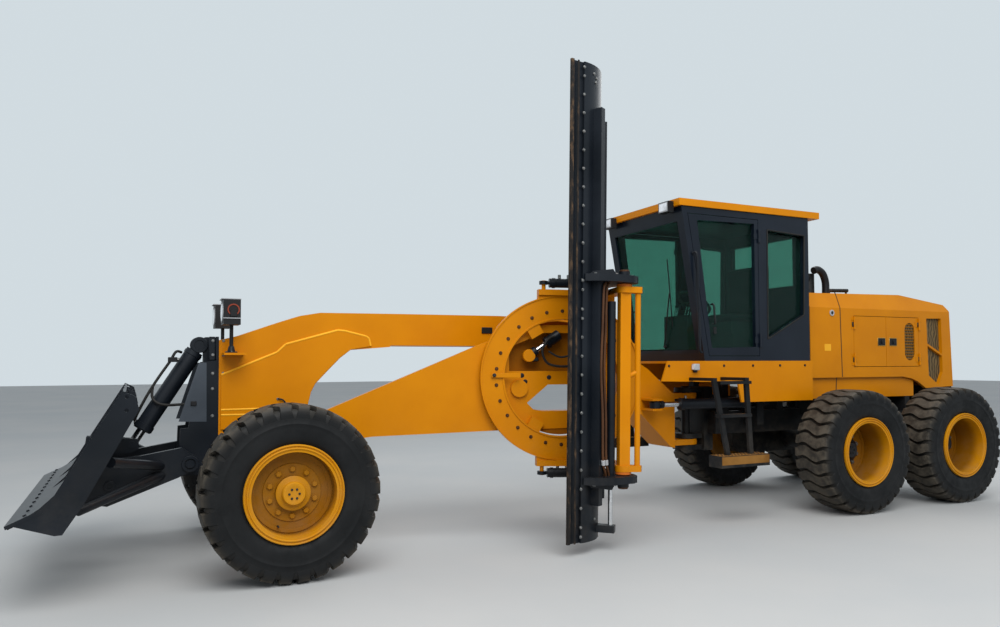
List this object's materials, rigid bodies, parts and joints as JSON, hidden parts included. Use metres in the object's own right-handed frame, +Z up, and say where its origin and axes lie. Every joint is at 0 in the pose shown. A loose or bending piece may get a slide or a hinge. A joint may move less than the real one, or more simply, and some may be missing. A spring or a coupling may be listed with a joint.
{
  "type": "motor grader",
  "caption": "Articulated motor grader with tandem rear wheels, a closed cab, a circle-mounted moldboard stowed upright on the left and a front push blade.",
  "frame": {"origin": "on the ground, under the middle of the bounding box; the centre plane of the machine lies 135 mm to its right, as the moldboard stands out to the left", "axes": "+X forward, +Y to the left of the machine, +Z up"},
  "size_m": [9.957, 2.7725, 4.0702],
  "materials": {
    "yellow_paint": "gloss enamel, lightly worn",
    "black_paint": "satin black enamel",
    "cab_paint": "semi-gloss navy black enamel",
    "tyre_rubber": "matt rubber",
    "tinted_glass": "green tinted",
    "chromed_rod": "polished chrome",
    "bare_iron": "cast, painted grey",
    "dark_plastic": "moulded plastic and vinyl"
  },
  "bodies": {
    "rear_frame": {"rear_frame": "black_paint", "tandem_drive": "black_paint", "engine": "bare_iron", "cab_base": "yellow_paint", "cab_frame": "cab_paint", "cab_roof": "yellow_paint", "cab_glass": "tinted_glass", "cab_interior": "dark_plastic", "hood": "yellow_paint", "hood_grille": "black_paint", "exhaust": "black_paint", "ladders": "black_paint", "work_lamps": "black_paint"},
    "front_frame": {"front_frame": "yellow_paint", "front_axle": "black_paint", "push_mast": "black_paint", "headlamps": "black_paint"},
    "knuckle_left": {"knuckle_left": "black_paint"},
    "knuckle_right": {"knuckle_right": "black_paint"},
    "tie_rod": {"tie_rod": "black_paint"},
    "push_blade": {"push_blade": "black_paint"},
    "push_barrel": {"push_barrel": "black_paint"},
    "push_rod": {"push_rod": "chromed_rod"},
    "drawbar": {"drawbar": "yellow_paint"},
    "turn_circle": {"turn_circle": "yellow_paint"},
    "tilt_bracket": {"tilt_bracket": "black_paint", "shift_barrel": "black_paint"},
    "blade": {"blade": "black_paint", "shift_rod": "chromed_rod"},
    "pitch_barrels": {"pitch_barrels": "black_paint"},
    "pitch_rods": {"pitch_rods": "chromed_rod"},
    "lift_barrels": {"lift_barrels": "black_paint"},
    "lift_rods": {"lift_rods": "chromed_rod"},
    "wheel_front_left": {"rim_front_left": "yellow_paint", "tyre_front_left": "tyre_rubber"},
    "wheel_front_right": {"rim_front_right": "yellow_paint", "tyre_front_right": "tyre_rubber"},
    "wheel_mid_left": {"rim_mid_left": "yellow_paint", "tyre_mid_left": "tyre_rubber"},
    "wheel_mid_right": {"rim_mid_right": "yellow_paint", "tyre_mid_right": "tyre_rubber"},
    "wheel_rear_left": {"rim_rear_left": "yellow_paint", "tyre_rear_left": "tyre_rubber"},
    "wheel_rear_right": {"rim_rear_right": "yellow_paint", "tyre_rear_right": "tyre_rubber"},
    "hinge_barrel_left": {"hinge_barrel_left": "black_paint"},
    "hinge_rod_left": {"hinge_rod_left": "chromed_rod"},
    "cab_door_left": {"cab_door_left": "cab_paint", "door_glass_left": "tinted_glass"},
    "hood_door_front_left": {"hood_door_front_left": "yellow_paint"},
    "hood_door_rear_left": {"hood_door_rear_left": "yellow_paint"},
    "hinge_barrel_right": {"hinge_barrel_right": "black_paint"},
    "hinge_rod_right": {"hinge_rod_right": "chromed_rod"},
    "cab_door_right": {"cab_door_right": "cab_paint", "door_glass_right": "tinted_glass"},
    "hood_door_front_right": {"hood_door_front_right": "yellow_paint"},
    "hood_door_rear_right": {"hood_door_rear_right": "yellow_paint"}
  },
  "joints": [
    {"name": "articulation", "type": "hinge", "parent": "rear_frame", "child": "front_frame", "pos_m": [-1.2, -0.135, 0.96], "axis": [0, 0, 1], "range_deg": [-25, 25]},
    {"name": "wheel_spin_mid_left", "type": "hinge", "parent": "rear_frame", "child": "wheel_mid_left", "pos_m": [-2.575, 0.895, 0.64], "axis": [0, 1, 0], "continuous": true},
    {"name": "wheel_spin_mid_right", "type": "hinge", "parent": "rear_frame", "child": "wheel_mid_right", "pos_m": [-2.575, -1.165, 0.64], "axis": [0, 1, 0], "continuous": true},
    {"name": "wheel_spin_rear_left", "type": "hinge", "parent": "rear_frame", "child": "wheel_rear_left", "pos_m": [-4.105, 0.895, 0.64], "axis": [0, 1, 0], "continuous": true},
    {"name": "wheel_spin_rear_right", "type": "hinge", "parent": "rear_frame", "child": "wheel_rear_right", "pos_m": [-4.105, -1.165, 0.64], "axis": [0, 1, 0], "continuous": true},
    {"name": "steer_left", "type": "hinge", "parent": "front_frame", "child": "knuckle_left", "pos_m": [3.25, 0.635, 0.64], "axis": [0, 0, 1], "range_deg": [-42, 42]},
    {"name": "wheel_spin_front_left", "type": "hinge", "parent": "knuckle_left", "child": "wheel_front_left", "pos_m": [3.25, 0.895, 0.64], "axis": [0, 1, 0], "continuous": true},
    {"name": "steer_right", "type": "hinge", "parent": "front_frame", "child": "knuckle_right", "pos_m": [3.25, -0.905, 0.64], "axis": [0, 0, 1], "range_deg": [-42, 42]},
    {"name": "wheel_spin_front_right", "type": "hinge", "parent": "knuckle_right", "child": "wheel_front_right", "pos_m": [3.25, -1.165, 0.64], "axis": [0, 1, 0], "continuous": true},
    {"name": "tie_rod_swing", "type": "hinge", "parent": "knuckle_left", "child": "tie_rod", "pos_m": [3.02, 0.635, 0.47], "axis": [0, 0, 1], "range_deg": [-42, 42]},
    {"name": "hinge_barrel_left_swing", "type": "hinge", "parent": "rear_frame", "child": "hinge_barrel_left", "pos_m": [-1.7, 0.295, 1.14], "axis": [0, 0, 1], "range_deg": [-13.96, 13.96]},
    {"name": "hinge_rod_left_slide", "type": "slide", "parent": "hinge_barrel_left", "child": "hinge_rod_left", "axis": [0.9977, -0.0684, 0], "range_m": [-0.1729, 0.1729]},
    {"name": "hinge_barrel_right_swing", "type": "hinge", "parent": "rear_frame", "child": "hinge_barrel_right", "pos_m": [-1.7, -0.565, 1.14], "axis": [0, 0, 1], "range_deg": [-13.96, 13.96]},
    {"name": "hinge_rod_right_slide", "type": "slide", "parent": "hinge_barrel_right", "child": "hinge_rod_right", "axis": [0.9977, 0.0684, 0], "range_m": [-0.1729, 0.1729]},
    {"name": "push_blade_lift", "type": "hinge", "parent": "front_frame", "child": "push_blade", "pos_m": [3.887, -0.135, 0.79], "axis": [0, 1, 0], "range_deg": [-5, 34]},
    {"name": "push_barrel_swing", "type": "hinge", "parent": "front_frame", "child": "push_barrel", "pos_m": [3.808, -0.135, 1.725], "axis": [0, 1, 0], "range_deg": [-0.88, 4.8]},
    {"name": "push_rod_slide", "type": "slide", "parent": "push_barrel", "child": "push_rod", "axis": [0.5264, 0, -0.8502], "range_m": [-0.0375, 0.2432]},
    {"name": "drawbar_swing", "type": "hinge", "parent": "front_frame", "child": "drawbar", "pos_m": [3.45, -0.135, 0.907], "axis": [0, 0, -1], "range_deg": [-3, 3]},
    {"name": "lift_barrels_swing", "type": "hinge", "parent": "front_frame", "child": "lift_barrels", "pos_m": [0.64, -0.285, 1.765], "axis": [0, 0, -1], "range_deg": [-2.93, 2.93]},
    {"name": "lift_rods_slide", "type": "slide", "parent": "lift_barrels", "child": "lift_rods", "axis": [-0.0236, 0.9997, 0], "range_m": [-0.1492, 0.1492]},
    {"name": "circle_turn", "type": "hinge", "parent": "drawbar", "child": "turn_circle", "pos_m": [0.87479, 0.75947, 1.44], "axis": [-0.2756, -0.9613, 0], "range_deg": [-90, 90]},
    {"name": "blade_pitch", "type": "hinge", "parent": "turn_circle", "child": "tilt_bracket", "pos_m": [0.55939, 1.25563, 1.43309], "axis": [-0.0151, 0.0043, 0.9999], "range_deg": [0, 42]},
    {"name": "pitch_barrels_swing", "type": "hinge", "parent": "turn_circle", "child": "pitch_barrels", "pos_m": [1.03543, 0.70301, 1.44267], "axis": [-0.0151, 0.0043, 0.9999], "range_deg": [-23.11, 0.2]},
    {"name": "pitch_rods_slide", "type": "slide", "parent": "pitch_barrels", "child": "pitch_rods", "axis": [-0.945, 0.3266, -0.0157], "range_m": [-0.201, 0.002]},
    {"name": "blade_shift", "type": "slide", "parent": "tilt_bracket", "child": "blade", "axis": [-0.0151, 0.0043, 0.9999], "range_m": [-1.25, 0.05]},
    {"name": "cab_door_left", "type": "hinge", "parent": "rear_frame", "child": "cab_door_left", "pos_m": [-1.655, 0.537, 2.355], "axis": [0, 0, 1], "range_deg": [0, 90]},
    {"name": "hood_door_front_left", "type": "hinge", "parent": "rear_frame", "child": "hood_door_front_left", "pos_m": [-3.222, 0.397, 1.81], "axis": [0, 0, -1], "range_deg": [0, 100]},
    {"name": "hood_door_rear_left", "type": "hinge", "parent": "rear_frame", "child": "hood_door_rear_left", "pos_m": [-4.332, 0.397, 1.81], "axis": [0, 0, 1], "range_deg": [0, 100]},
    {"name": "cab_door_right", "type": "hinge", "parent": "rear_frame", "child": "cab_door_right", "pos_m": [-1.655, -0.807, 2.355], "axis": [0, 0, -1], "range_deg": [0, 90]},
    {"name": "hood_door_front_right", "type": "hinge", "parent": "rear_frame", "child": "hood_door_front_right", "pos_m": [-3.222, -0.667, 1.81], "axis": [0, 0, 1], "range_deg": [0, 100]},
    {"name": "hood_door_rear_right", "type": "hinge", "parent": "rear_frame", "child": "hood_door_rear_right", "pos_m": [-4.332, -0.667, 1.81], "axis": [0, 0, -1], "range_deg": [0, 100]}
  ],
  "couplings": [
    {"joint": "steer_right", "follows": "steer_left", "ratio": 1},
    {"joint": "tie_rod_swing", "follows": "steer_left", "ratio": -1},
    {"joint": "hinge_barrel_left_swing", "follows": "articulation", "ratio": 0.55032},
    {"joint": "hinge_rod_left_slide", "follows": "articulation", "m_per_rad": -0.39158},
    {"joint": "hinge_barrel_right_swing", "follows": "articulation", "ratio": 0.55032},
    {"joint": "hinge_rod_right_slide", "follows": "articulation", "m_per_rad": 0.39158},
    {"joint": "push_barrel_swing", "follows": "push_blade_lift", "ratio": 0.13524},
    {"joint": "push_rod_slide", "follows": "push_blade_lift", "m_per_rad": 0.40644},
    {"joint": "lift_barrels_swing", "follows": "drawbar_swing", "ratio": 0.90987},
    {"joint": "lift_rods_slide", "follows": "drawbar_swing", "m_per_rad": 2.8118},
    {"joint": "pitch_barrels_swing", "follows": "blade_pitch", "ratio": -0.54553},
    {"joint": "pitch_rods_slide", "follows": "blade_pitch", "m_per_rad": -0.27144}
  ]
}
